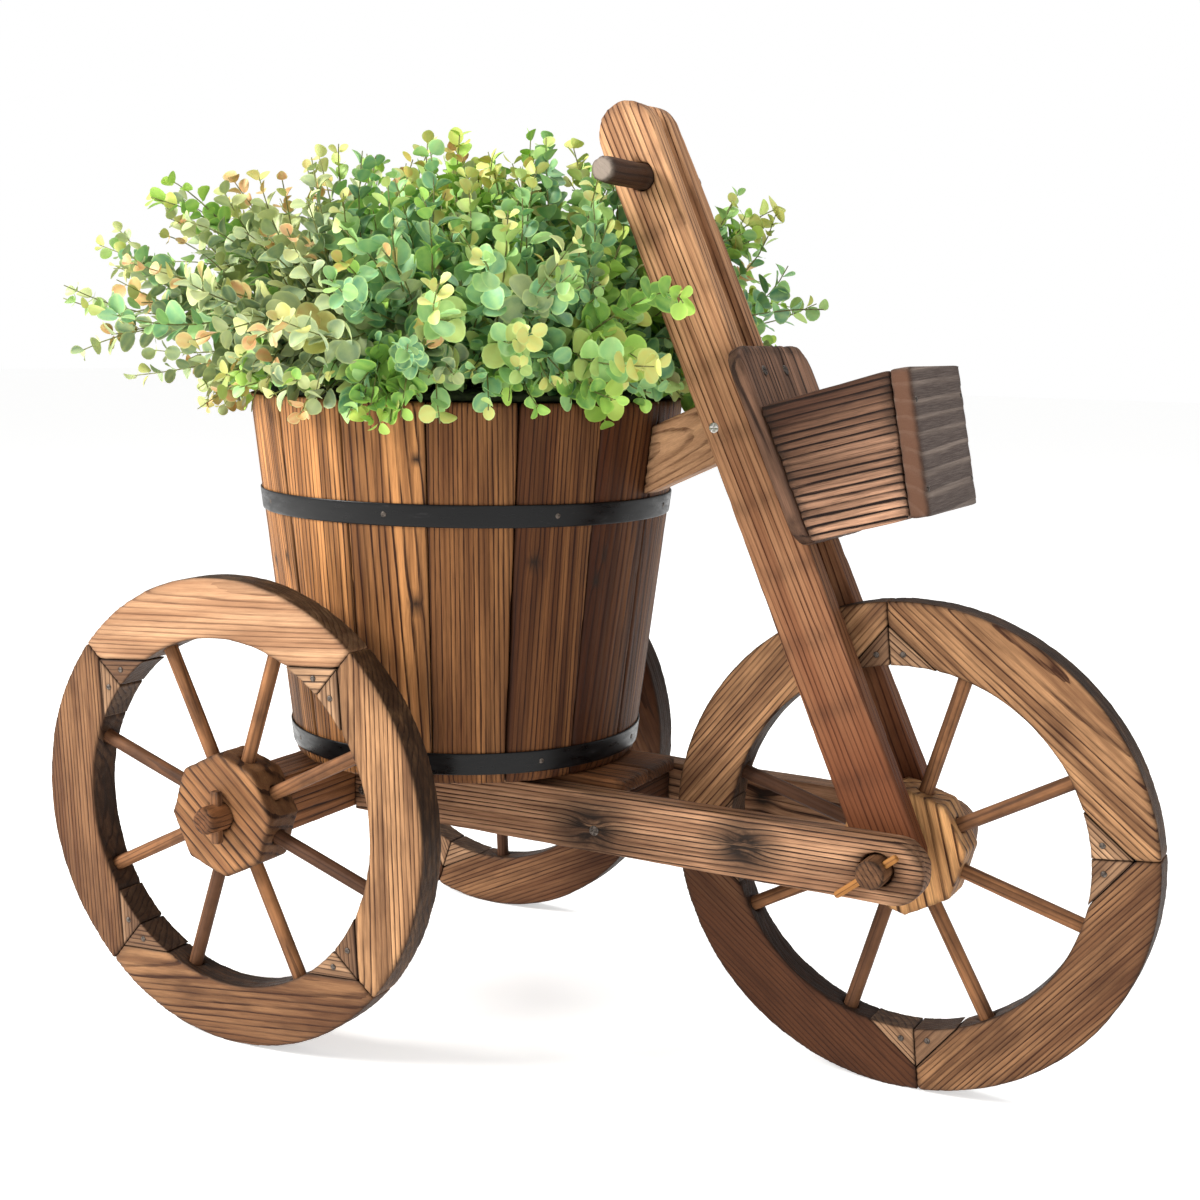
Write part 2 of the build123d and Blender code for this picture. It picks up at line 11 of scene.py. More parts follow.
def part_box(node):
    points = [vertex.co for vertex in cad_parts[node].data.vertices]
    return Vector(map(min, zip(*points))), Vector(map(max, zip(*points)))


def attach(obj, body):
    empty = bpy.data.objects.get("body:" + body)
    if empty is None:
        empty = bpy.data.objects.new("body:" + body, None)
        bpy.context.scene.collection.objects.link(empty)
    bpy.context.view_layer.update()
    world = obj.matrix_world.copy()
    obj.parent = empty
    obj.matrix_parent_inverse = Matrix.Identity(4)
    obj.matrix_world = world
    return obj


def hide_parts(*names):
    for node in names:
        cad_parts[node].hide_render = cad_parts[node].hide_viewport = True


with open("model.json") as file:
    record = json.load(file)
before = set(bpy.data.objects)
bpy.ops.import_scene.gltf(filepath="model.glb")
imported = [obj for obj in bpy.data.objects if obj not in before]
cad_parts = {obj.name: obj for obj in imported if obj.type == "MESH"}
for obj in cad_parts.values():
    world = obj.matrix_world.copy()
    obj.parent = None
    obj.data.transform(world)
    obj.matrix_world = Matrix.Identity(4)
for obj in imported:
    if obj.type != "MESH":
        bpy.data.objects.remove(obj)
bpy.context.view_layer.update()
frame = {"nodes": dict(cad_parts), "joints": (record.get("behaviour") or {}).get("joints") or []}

MM = 0.001
UP = Vector((0, 0, 1))
SIDE = Vector((0, 1, 0))
FORWARD = Vector((1, 0, 0))
photo_right = Vector((0.88, 0.474, 0))  # level, towards the photograph's right edge
joints = {j["name"]: j for j in frame["joints"]}
fork_up = Vector(joints["plant_lift"]["axis"]).normalized()
fork_forward = Vector((fork_up.z, 0, -fork_up.x))
front_axle = Vector(joints["front_wheel_spin"]["pos_m"])
barrel_low, barrel_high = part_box("barrel_staves")
barrel_centre = (barrel_low + barrel_high) / 2
rim_centre = Vector((barrel_centre.x, barrel_centre.y, barrel_high.z))
barrel_rim_radius = (barrel_high.x - barrel_low.x) / 2
barrel_foot_radius, barrel_height = 0.1157, 0.238
barrel_flare = (barrel_rim_radius - barrel_foot_radius) / barrel_height


# ------------------------------------------------------------------- camera
def add_camera():
    """Camera low on the planter's right, ahead of the barrel, a little rolled."""
    place = front_axle + Vector((0.2962, -0.948, 0.2995))
    yaw, pitch, roll = math.radians(28.3), math.radians(-8.91), math.radians(1.05)
    level_forward = Vector((-math.sin(yaw), math.cos(yaw), 0))
    forward = level_forward * math.cos(pitch) + UP * math.sin(pitch)
    level_right = Vector((math.cos(yaw), math.sin(yaw), 0))
    right = level_right * math.cos(roll) + level_right.cross(forward) * math.sin(roll)
    data = bpy.data.cameras.new("camera")
    data.sensor_width = 36
    data.lens = 50.06
    camera = bpy.data.objects.new("camera", data)
    turned = Matrix((right, right.cross(forward), -forward)).transposed()
    camera.matrix_world = Matrix.Translation(place) @ turned.to_4x4()
    bpy.context.scene.collection.objects.link(camera)
    bpy.context.scene.camera = camera


# ---------------------------------------------------------------- materials
def rgb(red, green, blue):
    """Linear colour from display values between 0 and 255."""
    def linear(value):
        value /= 255
        return value / 12.92 if value <= 0.04045 else ((value + 0.055) / 1.055) ** 2.4
    return (linear(red), linear(green), linear(blue), 1)


def connect(tree, node, inputs):
    """Feed a node's inputs, by name or number, from sockets or plain values."""
    for key, value in inputs.items():
        if isinstance(value, bpy.types.NodeSocket):
            tree.links.new(value, node.inputs[key])
        else:
            node.inputs[key].default_value = value


def add_node(tree, kind, inputs=None, **settings):
    node = tree.nodes.new(kind)
    for name, value in settings.items():
        setattr(node, name, value)
    connect(tree, node, inputs or {})
    return node


def attribute(tree, name, output):
    return add_node(tree, "ShaderNodeAttribute", attribute_name=name).outputs[output]


def object_place(tree):
    return add_node(tree, "ShaderNodeTexCoord").outputs["Object"]


def stretched(tree, vector, scale):
    return add_node(tree, "ShaderNodeMapping", {"Vector": vector, "Scale": scale}).outputs[0]


def noise(tree, vector, scale, detail, roughness):
    inputs = {"Vector": vector, "Scale": scale, "Detail": detail, "Roughness": roughness}
    return add_node(tree, "ShaderNodeTexNoise", inputs).outputs["Fac"]


def ramp(tree, factor, stops):
    """Colour ramp from (place, colour or grey value) stops."""
    node = add_node(tree, "ShaderNodeValToRGB", {"Fac": factor})
    elements = node.color_ramp.elements
    while len(elements) < len(stops):
        elements.new(0.5)
    for element, (place, colour) in zip(elements, stops):
        element.position = place
        element.color = colour if isinstance(colour, tuple) else (colour, colour, colour, 1)
    return node.outputs["Color"]


def mix(tree, factor, first, second):
    """Second colour over the first, by the factor."""
    node = add_node(tree, "ShaderNodeMix", data_type="RGBA")
    connect(tree, node, {0: factor, 6: first, 7: second})
    return node.outputs[2]


def maths(tree, operation, first, second):
    node = add_node(tree, "ShaderNodeMath", operation=operation)
    connect(tree, node, {0: first, 1: second})
    return node.outputs[0]


def times(tree, first, second):
    return maths(tree, "MULTIPLY", first, second)


def bump(tree, height, strength, distance):
    inputs = {"Strength": strength, "Distance": distance, "Height": height}
    return add_node(tree, "ShaderNodeBump", inputs).outputs[0]


def new_material(name, base_color=None):
    material = bpy.data.materials.new(name)
    material.use_nodes = True
    shader = material.node_tree.nodes["Principled BSDF"]
    if base_color:
        shader.inputs["Base Color"].default_value = base_color
        material.diffuse_color = base_color
    return material, material.node_tree, shader


def wood(
    name, light, warm, dark, ring=0.28, contrast=0.9, scorch=0.5, char=0.6,
    flank=0.3, ends=0.5, grooves=0.6, band=0.12, end_tone=None,
):
    """Torch-burnt fir: growth rings round a pith line, brushed fibres, scorching and charred edges.

    The pieces' "grain" attribute gives centimetres along, across and through each
    board, "edge" its worn edges, "flank" its narrow sides, "end" its end grain and
    "knot" its knots. ring is the rings' spacing in centimetres, band is how short
    the scorched bands are along the grain, grooves how deep the grain looks, and
    char, flank and ends how dark the edges, the narrow sides and the end grain are.
    """
    material, tree, shader = new_material(name)
    material.diffuse_color = light
    grain = attribute(tree, "grain", "Vector")
    tint, edge, side, end, knot = (
        attribute(tree, field, "Fac") for field in ("tint", "edge", "flank", "end", "knot")
    )

    def drawn_out(along, across, detail, roughness=0.5):
        """Noise drawn out along the grain."""
        return noise(tree, stretched(tree, grain, (along, across, across)), 1, detail, roughness)

    ring_inputs = {
        "Vector": stretched(tree, grain, (0.05, 1, 1)),
        "Scale": 0.314 / ring,
        "Distortion": 4.0,
        "Detail": 3,
        "Detail Scale": 0.8,
        "Detail Roughness": 0.6,
    }
    ring_settings = {"wave_type": "RINGS", "rings_direction": "X", "wave_profile": "SAW"}
    rings = add_node(tree, "ShaderNodeTexWave", ring_inputs, **ring_settings).outputs["Fac"]
    fibres = drawn_out(0.4, 16, 4, 0.7)
    strength = drawn_out(0.06, 2.2, 2)
    clouds = drawn_out(band, 0.55, 3, 0.6)
    glow = drawn_out(0.05, 1.6, 2)
    soot = drawn_out(0.5, 1.6, 4, 0.65)
    late_stops = [(0, 0.15), (0.05, 0.0), (0.56, 0.04), (0.74, 0.4), (0.84, 1.0), (0.97, 0.85)]
    late_wood = ramp(tree, rings, late_stops)
    late_lines = times(tree, late_wood, ramp(tree, strength, [(0.36, 0.35), (0.56, 1.0)]))
    fibre_lines = times(tree, ramp(tree, fibres, [(0.36, 1.0), (0.58, 0.0)]), 0.35)
    streaks = maths(tree, "ADD", late_lines, fibre_lines)
    colour = mix(tree, tint, light, warm)
    colour = mix(tree, ramp(tree, glow, [(0.4, 0.0), (0.62, 0.6)]), colour, warm)
    colour = mix(tree, ramp(tree, clouds, [(0.42, 0.0), (0.68, scorch)]), colour, dark)
    colour = mix(tree, times(tree, streaks, contrast), colour, dark)
    colour = mix(tree, times(tree, end, ends), colour, end_tone or dark)
    charred_edges = times(tree, times(tree, edge, char), ramp(tree, soot, [(0.35, 0.15), (0.6, 1.0)]))
    sooty_sides = times(tree, times(tree, side, flank), ramp(tree, soot, [(0.3, 0.72), (0.55, 1.0)]))
    burnt_knots = times(tree, knot, ramp(tree, soot, [(0.32, 0.6), (0.52, 1.0)]))
    charred = maths(tree, "MAXIMUM", maths(tree, "MAXIMUM", charred_edges, sooty_sides), burnt_knots)
    colour = mix(tree, charred, colour, rgb(34, 24, 18))
    height = maths(tree, "SUBTRACT", times(tree, fibres, 0.8), times(tree, late_wood, 0.7))
    connect(tree, shader, {
        "Base Color": colour,
        "Roughness": ramp(tree, fibres, [(0.3, 0.46), (0.7, 0.64)]),
        "Normal": bump(tree, height, grooves, 0.6 * MM),
        "Specular IOR Level": 0.12,
    })
    return material


def black_strap():
    """Black hoop strap with a worn satin sheen."""
    material, tree, shader = new_material("black_strap", rgb(26, 26, 29))
    wear = noise(tree, stretched(tree, object_place(tree), (60, 60, 260)), 1, 4, 0.65)
    blacks = [(0.4, rgb(7, 7, 8)), (0.64, rgb(14, 14, 15)), (0.82, rgb(46, 45, 46))]
    connect(tree, shader, {
        "Base Color": ramp(tree, wear, blacks),
        "Roughness": ramp(tree, wear, [(0.35, 0.24), (0.7, 0.46)]),
        "Normal": bump(tree, wear, 0.25, 0.3 * MM),
        "Specular IOR Level": 0.2,
    })
    return material


def zinc():
    """Zinc plated screws."""
    material, tree, shader = new_material("zinc", rgb(196, 194, 188))
    spots = noise(tree, object_place(tree), 900, 3, 0.6)
    connect(tree, shader, {
        "Base Color": ramp(tree, spots, [(0.35, rgb(120, 116, 108)), (0.6, rgb(206, 204, 198))]),
        "Roughness": ramp(tree, spots, [(0.3, 0.5), (0.7, 0.28)]),
        "Metallic": 0.85,
    })
    return material


def iron():
    """Dark nail and screw heads."""
    material, tree, shader = new_material("dark_iron", rgb(58, 52, 48))
    spots = noise(tree, object_place(tree), 700, 3, 0.6)
    colour = ramp(tree, spots, [(0.35, rgb(40, 34, 30)), (0.65, rgb(110, 100, 92))])
    connect(tree, shader, {"Base Color": colour, "Metallic": 0.7, "Roughness": 0.5})
    return material


def leaf(name, tones, rim_tone):
    """Coated cloth leaf: its tone by the leaf, a paler middle vein and a yellow-green rim."""
    material, tree, shader = new_material(name)
    material.diffuse_color = tones[len(tones) // 2][1]
    tint, edge, vein = (attribute(tree, field, "Fac") for field in ("tint", "edge", "knot"))
    mottle = noise(tree, object_place(tree), 160, 3, 0.6)
    colour = ramp(tree, tint, tones)
    colour = mix(tree, ramp(tree, mottle, [(0.42, 0.0), (0.7, 0.25)]), colour, rim_tone)
    colour = mix(tree, ramp(tree, edge, [(0.6, 0.0), (1.0, 0.6)]), colour, rim_tone)
    colour = mix(tree, times(tree, vein, 0.25), colour, rim_tone)
    connect(tree, shader, {
        "Base Color": colour,
        "Normal": bump(tree, mottle, 0.35, 0.6 * MM),
        "Roughness": 0.5,
        "Specular IOR Level": 0.4,
        "Subsurface Weight": 0.12,
        "Subsurface Radius": (0.002, 0.003, 0.001),
    })
    return material


def plain_noise(name, low, high, scale, roughness):
    """Matt, rough material that wanders between two colours."""
    material, tree, shader = new_material(name, high)
    spots = noise(tree, object_place(tree), scale, 4, 0.6)
    connect(tree, shader, {
        "Base Color": ramp(tree, spots, [(0.35, low), (0.65, high)]),
        "Normal": bump(tree, spots, 0.6, 1.0 * MM),
        "Roughness": roughness,
    })
    return material


def make_woods():
    """One wood for each kind of board: its pale, warm and dark tones, and what sets it apart."""
    kinds = {
        "felloe": (
            (236, 180, 128), (86, 52, 32), (54, 29, 16),
            dict(flank=0.95, scorch=0.6, char=0.3, band=0.16),
        ),
        "felloe_pale": (
            (200, 156, 118), (140, 96, 66), (82, 50, 32),
            dict(flank=0.95, contrast=0.66, scorch=0.3, char=0.25, band=0.16),
        ),
        "corner": (
            (216, 172, 132), (86, 58, 40), (56, 34, 22), dict(flank=0.9, scorch=0.5, char=0.25),
        ),
        "char": ((106, 66, 40), (76, 46, 30), (36, 24, 17), dict(flank=0.6)),
        "dowel": ((168, 116, 76), (84, 56, 40), (54, 34, 23), dict(contrast=0.6, flank=0.0, band=0.4)),
        "handlebar": (
            (108, 72, 50), (74, 50, 36), (42, 29, 22),
            dict(flank=0.0, ends=1.0, end_tone=rgb(150, 136, 124)),
        ),
        "axle": ((142, 100, 68), (92, 62, 43), (44, 29, 21), dict(flank=0.0, ends=0.2, char=0.9)),
        "peg": (
            (214, 160, 92), (172, 116, 60), (104, 64, 32),
            dict(flank=0.0, ends=0.2, char=0.2, scorch=0.2),
        ),
        "hub": (
            (206, 154, 104), (134, 88, 56), (52, 30, 18),
            dict(ring=0.6, contrast=1.0, flank=0.5, ends=0.6),
        ),
        # brighter copy of the hub wood for the front hub: painted light, to make up for the fork's
        # shadow on it
        "hub_painted_light": (
            (250, 190, 126), (176, 118, 72), (66, 38, 22),
            dict(ring=0.6, contrast=1.0, flank=0.4, ends=0.4),
        ),
        "rail": ((222, 172, 132), (116, 76, 52), (48, 27, 17), dict(contrast=1.1, scorch=0.45)),
        "deck": ((172, 114, 72), (106, 68, 44), (46, 28, 18), {}),
        "fork": (
            (238, 182, 134), (118, 70, 44), (72, 38, 22),
            dict(ring=0.34, scorch=0.12, flank=0.25, char=0.4, band=0.02),
        ),
        "brace": (
            (214, 166, 124), (166, 122, 88), (92, 58, 38),
            dict(ring=0.4, contrast=0.7, scorch=0.2, flank=0.2),
        ),
        "plate": ((166, 124, 98), (92, 66, 52), (44, 30, 24), dict(ring=0.5, scorch=0.4, flank=0.0)),
        "grooved": (
            (222, 170, 136), (80, 52, 38), (28, 15, 10),
            dict(ring=0.44, contrast=1.4, grooves=1.0, scorch=0.35),
        ),
        "weathered": (
            (80, 67, 62), (68, 56, 51), (146, 130, 118),
            dict(ring=0.9, contrast=0.6, scorch=0.0, flank=0.0, ends=0.85, end_tone=rgb(98, 66, 48)),
        ),
        "stave": (
            (222, 156, 96), (74, 37, 16), (42, 18, 7),
            dict(ring=0.27, contrast=1.0, scorch=0.8, char=0.0, flank=0.5, band=0.03),
        ),
    }
    return {
        kind: wood(f"fir_{kind}", *(rgb(*tone) for tone in tones), **settings)
        for kind, (*tones, settings) in kinds.items()
    }


def make_leaf_materials():
    """Sage, green and lime leaves, each from its darkest to its yellowest, and their stems."""
    kinds = {
        "sage": (
            (0, 96, 124, 92), (0.35, 140, 162, 124), (0.65, 172, 184, 128), (0.85, 190, 190, 108),
            (1, 204, 152, 100), (206, 214, 144),
        ),
        "green": (
            (0, 68, 122, 88), (0.4, 118, 172, 124), (0.75, 150, 194, 112), (1, 202, 198, 110),
            (190, 220, 136),
        ),
        "lime": (
            (0, 76, 132, 64), (0.4, 128, 178, 84), (0.8, 164, 204, 88), (1, 206, 180, 100),
            (190, 222, 104),
        ),
    }
    materials = {
        kind: leaf(f"leaf_{kind}", [(place, rgb(*tone)) for place, *tone in tones], rgb(*rim_tone))
        for kind, (*tones, rim_tone) in kinds.items()
    }
    materials["stem"] = plain_noise("stem", rgb(86, 84, 46), rgb(126, 132, 66), 300, 0.6)
    return materials


# ------------------------------------------------------------- mesh helpers
def read(collection, field, kind, width):
    """A property of a mesh's elements, one row for each element."""
    found = np.empty(len(collection) * width, kind)
    collection.foreach_get(field, found)
    return found.reshape(-1, width)


def value_noise(points, seed):
    """Smooth random field between -1 and 1, with one unit between its lattice points."""
    cell = np.floor(points).astype(np.int64)
    part = points - cell
    part = part * part * (3 - 2 * part)
    total = np.zeros(len(points))
    for corner in np.ndindex(2, 2, 2):
        at = cell + np.array(corner)
        mixed = (at[:, 0] * 73856093) ^ (at[:, 1] * 19349663) ^ (at[:, 2] * 83492791) ^ (seed * 40503)
        mixed = ((mixed ^ (mixed >> 13)) * 1274126177) & 0x7FFFFFFF
        value = (mixed >> 8) % 4096 / 2047.5 - 1
        total += value * np.prod(np.where(corner, part, 1 - part), axis=1)
    return total


def neighbour_mean(values, edges):
    """Mean of each vertex's neighbours."""
    total = np.zeros_like(values)
    count = np.zeros(len(values))
    for near, far in ((0, 1), (1, 0)):
        np.add.at(total, edges[:, near], values[edges[:, far]])
        np.add.at(count, edges[:, near], 1)
    count = np.maximum(count, 1)
    return total / (count[:, None] if values.ndim > 1 else count)


def give_fields(mesh, fields):
    """Point attributes of a mesh, joined from one set of fields for each of its parts."""
    for name in fields[0]:
        values = np.concatenate([field[name] for field in fields]).astype(np.float32)
        kind, member = ("FLOAT_VECTOR", "vector") if values.ndim > 1 else ("FLOAT", "value")
        mesh.attributes.new(name, kind, "POINT").data.foreach_set(member, values.ravel())


def new_piece(name, mesh, material, body, nodes):
    piece = bpy.data.objects.new(name, mesh)
    bpy.context.scene.collection.objects.link(piece)
    mesh.materials.clear()
    mesh.materials.append(material)
    mesh.shade_smooth()
    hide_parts(*nodes)
    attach(piece, body)


def mesh_from(name, points, faces):
    mesh = bpy.data.meshes.new(name)
    mesh.from_pydata([tuple(p) for p in points], [], [tuple(f) for f in faces])
    mesh.update()
    return mesh


def circle(count, radius=1.0):
    """Evenly spaced points on a circle, as (x, y)."""
    turns = [2 * math.pi * k / count for k in range(count)]
    return [(radius * math.cos(turn), radius * math.sin(turn)) for turn in turns]


def ring_faces(rings, around):
    """Quads between each ring of points and the next one."""
    return [
        (row + k, row + (k + 1) % around, row + around + (k + 1) % around, row + around + k)
        for row in range(0, (rings - 1) * around, around)
        for k in range(around)
    ]


def loose_parts(node):
    """The node's separate solids, as (points, faces) in metres."""
    work = bmesh.new()
    work.from_mesh(frame["nodes"][node].data)
    bmesh.ops.remove_doubles(work, verts=work.verts, dist=1e-6)
    work.verts.ensure_lookup_table()
    left = set(range(len(work.verts)))
    parts = []
    while left:
        stack = [work.verts[min(left)]]
        left.discard(stack[0].index)
        members = []
        while stack:
            vertex = stack.pop()
            members.append(vertex)
            for link in vertex.link_edges:
                other = link.other_vert(vertex)
                if other.index in left:
                    left.discard(other.index)
                    stack.append(other)
        order = {vertex.index: i for i, vertex in enumerate(members)}
        faces = {face for vertex in members for face in vertex.link_faces}
        corners = [tuple(order[v.index] for v in f.verts) for f in sorted(faces, key=lambda f: f.index)]
        parts.append((np.array([v.co for v in members], float), corners))
    work.free()
    return parts


def voxel_remesh(points, faces, cell):
    """Even closed skin round a solid, as a mesh."""
    rough = mesh_from("rough", points, faces)
    work = bpy.data.objects.new("rough", rough)
    bpy.context.scene.collection.objects.link(work)
    remesh = work.modifiers.new("remesh", "REMESH")
    remesh.mode = "VOXEL"
    remesh.voxel_size = cell
    remesh.adaptivity = 0
    fine = bpy.data.meshes.new_from_object(work.evaluated_get(bpy.context.evaluated_depsgraph_get()))
    bpy.data.objects.remove(work)
    bpy.data.meshes.remove(rough)
    return fine


def board_axes(along, face):
    """Rows of unit vectors along the grain, across the board and out of its wide face."""
    along = Vector(along).normalized()
    face = Vector(face)
    face = (face - along * face.dot(along)).normalized()
    return np.array([along, face.cross(along), face])


# -------------------------------------------------------------- wooden parts
def wear_edges(local, edges, rounds):
    """Round a solid's edges off. Also gives how worn each point is, from 0 to 1."""
    fully_worn = 0.22
    sharp = local
    for _ in range(rounds):
        local = local + (neighbour_mean(local, edges) - local) * 0.5
    edge = np.linalg.norm(sharp - local, axis=1)
    for _ in range(3):
        edge = 0.4 * edge + 0.6 * neighbour_mean(edge, edges)
    return local, np.clip(edge / fully_worn, 0, 1)


def brush(local, edge, ridge, relief, chips, shift, number):
    """How far each point lies above the sawn face: ridges along the grain, chips at the edges."""
    ridge_length, chip_size = 45, (7, 3.5, 3.5)
    lengthwise = local / (ridge_length, ridge, ridge)
    lengthwise[:, 0] += 0.37 * lengthwise[:, 1] + 0.23 * lengthwise[:, 2]
    lengthwise += shift
    brushed = value_noise(lengthwise, number) + 0.5 * value_noise(lengthwise * (2, 2.1, 2.1), number + 1)
    chipped = np.clip(value_noise(local / chip_size + shift, number + 2), 0, 1) * edge
    highest = 0.05
    return np.minimum(relief * (brushed - 0.6) - chips * chipped, highest)


def bend_round_knots(grain, local, knots):
    """Bend the grain round each knot. Gives how strongly each point is part of a knot."""
    widest_bend, longer = 7, 1.3  # millimetres, and how much longer than wide a knot is
    knot = np.zeros(len(local))
    for along, across, radius in knots:
        aside = local[:, 1] - across
        away = np.hypot((local[:, 0] - along) / longer, aside)
        bend = min(radius, widest_bend)
        knot = np.maximum(knot, np.clip(1.35 - 0.8 * away / radius, 0, 1))
        grain[:, 1] += np.exp(-(away / bend / 1.3) ** 2) * bend / 14 * np.tanh(aside / 1.5)
    return knot


def carve(
    name, nodes, body, material, aim, cell=1.1, stretch=3.0, worn=2, relief=0.16, ridge=2.2,
    chips=0.6, seed=1, knots=(), tints=(0.0, 1.0), fade=(0.0, 0.0), pith_side=(25, 60),
    pith_depth=(15, 50), rake=0.02,
):
    """Wooden piece cut to the nodes' solids, with worn edges and brushed grain.

    aim(points) gives each solid's grain direction and the normal of its wide
    face. Lengths here are in millimetres. cell is the fineness of the skin and
    stretch how much coarser it is along the grain. knots are (along, across,
    radius) from the solid's middle, or a function that draws them. tints is the
    range of tones a solid may take, or a function of its middle, and fade is how
    much it darkens along and across.
    """
    dice = random.Random(seed)
    all_points, all_faces, fields, start = [], [], [], 0
    for points, faces in (part for node in nodes for part in loose_parts(node)):
        along, face = aim(points)
        axes = board_axes(along, face)
        middle = (points.max(0) + points.min(0)) / 2
        local = (points - middle) @ axes.T / MM
        fine = voxel_remesh(local / (stretch, 1, 1), faces, cell)
        local = read(fine.vertices, "co", np.float32, 3).astype(float) * (stretch, 1, 1)
        edges = read(fine.edges, "vertices", np.int32, 2)
        local, edge = wear_edges(local, edges, worn)
        fine.vertices.foreach_set("co", local.ravel())
        fine.update()
        normals = read(fine.vertex_normals, "vector", np.float32, 3).astype(float)
        shift = dice.uniform(0, 500)
        number = dice.randrange(10000)
        depth = brush(local, edge, ridge, relief, chips, shift, number)
        local = local + normals * depth[:, None]
        pith = (0, dice.choice((-1, 1)) * dice.uniform(*pith_side), -dice.uniform(*pith_depth))
        slope, lean = dice.uniform(-0.03, 0.03), dice.choice((-1, 1)) * rake
        grain = (local - pith) / 10
        grain[:, 1] += grain[:, 0] * slope
        grain[:, 2] += grain[:, 0] * lean
        grain[:, 0] += shift
        knot = bend_round_knots(grain, local, knots(dice) if callable(knots) else knots)
        span = np.ptp(local, axis=0)
        tone = tints(Vector(middle), dice) if callable(tints) else dice.uniform(*tints)
        tone = tone + local[:, 0] / span[0] * fade[0] + local[:, 1] / span[1] * fade[1]
        fields.append({
            "grain": grain, "tint": np.clip(tone, 0, 1), "edge": edge,
            "flank": np.abs(normals[:, 1]), "end": np.abs(normals[:, 0]), "knot": knot,
        })
        quads = read(fine.loops, "vertex_index", np.int32, 1).reshape(-1, 4)
        all_faces.extend((quads + start).tolist())
        all_points.append(local * MM @ axes + middle)
        start += len(local)
        bpy.data.meshes.remove(fine)
    mesh = mesh_from(name, np.concatenate(all_points), all_faces)
    give_fields(mesh, fields)
    new_piece(name, mesh, material, body, nodes)


def aimed(along, face):
    return lambda points: (along, face)


def from_wheel(centre, way, boards=()):
    """Grain along or square to the line from a wheel's centre to a piece's middle.

    Given the rim boards' directions, a piece takes the grain of the nearest board.
    """
    def aim(points):
        out = Vector((points.max(0) + points.min(0)) / 2) - centre
        out.y = 0
        out.normalize()
        if boards:
            out = max(boards, key=out.dot)
        return (out if way == "radial" else Vector((-out.z, 0, out.x))), SIDE
    return aim


def board(node, material, along, face, seed, ending="worn", **settings):
    """Piece of the root body, cut to one node, with one grain direction."""
    carve(f"{node}_{ending}", [node], "root", material, aimed(along, face), seed=seed, **settings)


def make_wheel(prefix, body, seed, tones, woods):
    """Rim boards, corner pieces, spokes and hub of one wheel."""
    centre = Vector(joints[body + "_spin"]["pos_m"])
    boards = []
    for k, tone in enumerate(tones, 1):
        node = f"{prefix}_rim_board_{k}"
        low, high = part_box(node)
        out = (low + high) / 2 - centre
        out.y = 0
        boards.append(out.normalized())
        carve(
            node + "_worn", [node], body, woods["felloe" if tone else "felloe_pale"],
            from_wheel(centre, "tangential"), seed=seed * 100 + k, worn=1,
            tints=(tone, tone), fade=(0.2, 0.15), rake=0.03,
        )

    def corner_tone(middle, dice):
        """The pair at the upper front joint is pale; the others are scorched."""
        pale = middle.x > centre.x and middle.z > centre.z
        return 0.1 if pale else dice.uniform(0.35, 0.9)

    corner = f"{prefix}_rim_corners"
    carve(
        corner + "_worn", [corner], body, woods["corner"], from_wheel(centre, "tangential", boards),
        cell=0.8, stretch=1.5, worn=1, relief=0.1, chips=0.1, seed=seed * 100 + 7, tints=corner_tone,
    )
    spokes = f"{prefix}_spokes"
    carve(
        spokes + "_turned", [spokes], body, woods["dowel"], from_wheel(centre, "radial"),
        cell=0.8, relief=0.12, chips=0.2, seed=seed * 100 + 8,
    )
    hub = f"{prefix}_hub"
    turned = math.radians(70 + 35 * seed)
    grain = Vector((math.cos(turned), 0, math.sin(turned)))
    # the front hub takes the brighter hub copy and a lighter tone: painted light against the fork's
    # shadow
    hub_tone, hub_wood = (0.2, "hub_painted_light") if prefix == "front" else (0.6, "hub")
    carve(
        hub + "_cut", [hub], body, woods[hub_wood], aimed(grain, SIDE),
        cell=1.0, stretch=1.5, worn=3, seed=seed * 100 + 9, tints=(hub_tone, hub_tone),
    )


def make_chassis(woods):
    rail_knots = {"rail_right": [(-16, 4, 17), (88, -2, 15)], "rail_left": [(60, -4, 6)]}
    for name, seed in (("rail_right", 21), ("rail_left", 22)):
        board(
            name, woods["rail"], FORWARD, SIDE, seed,
            knots=rail_knots[name], tints=(0.3, 0.4), fade=(-0.2, 0.0),
        )
    for name, seed in (("deck_board_right", 23), ("deck_board_left", 24)):
        board(name, woods["deck"], FORWARD, UP, seed)
    board("stretchers", woods["char"], SIDE, FORWARD, 25, cell=1.5)
    board("rear_axle_beam", woods["deck"], SIDE, FORWARD, 26, cell=1.2)
    board("rear_axle_pegs", woods["dowel"], UP, SIDE, 27, "cut", cell=0.6, worn=3, relief=0.1)
    board(
        "front_axle", woods["axle"], SIDE, FORWARD, 28, "cut",
        cell=0.8, stretch=1.2, worn=4, relief=0.3, ridge=3.5,
    )
    peg_lean = Vector((-0.78, 0, -0.63))
    board("front_axle_pegs", woods["peg"], peg_lean, SIDE, 29, "cut", cell=0.5, worn=3, relief=0.1)
    for name, seed in (("fork_board_right", 31), ("fork_board_left", 32)):
        # fade=(-1.3, 0.0) is painted light and shade: the fork boards' tone runs pale at the top and
        # dark at the bottom, as if lit from above
        board(
            name, woods["fork"], fork_up, SIDE, seed,
            tints=(0.5, 0.55), fade=(-1.3, 0.0), pith_side=(30, 50),
        )
    board("handlebar", woods["handlebar"], SIDE, UP, 33, cell=0.8, worn=4, relief=0.2)
    board(
        "brace_board", woods["brace"], fork_forward, SIDE, 34,
        tints=(0.0, 0.1), pith_side=(6, 10), pith_depth=(16, 22), rake=0.16,
    )


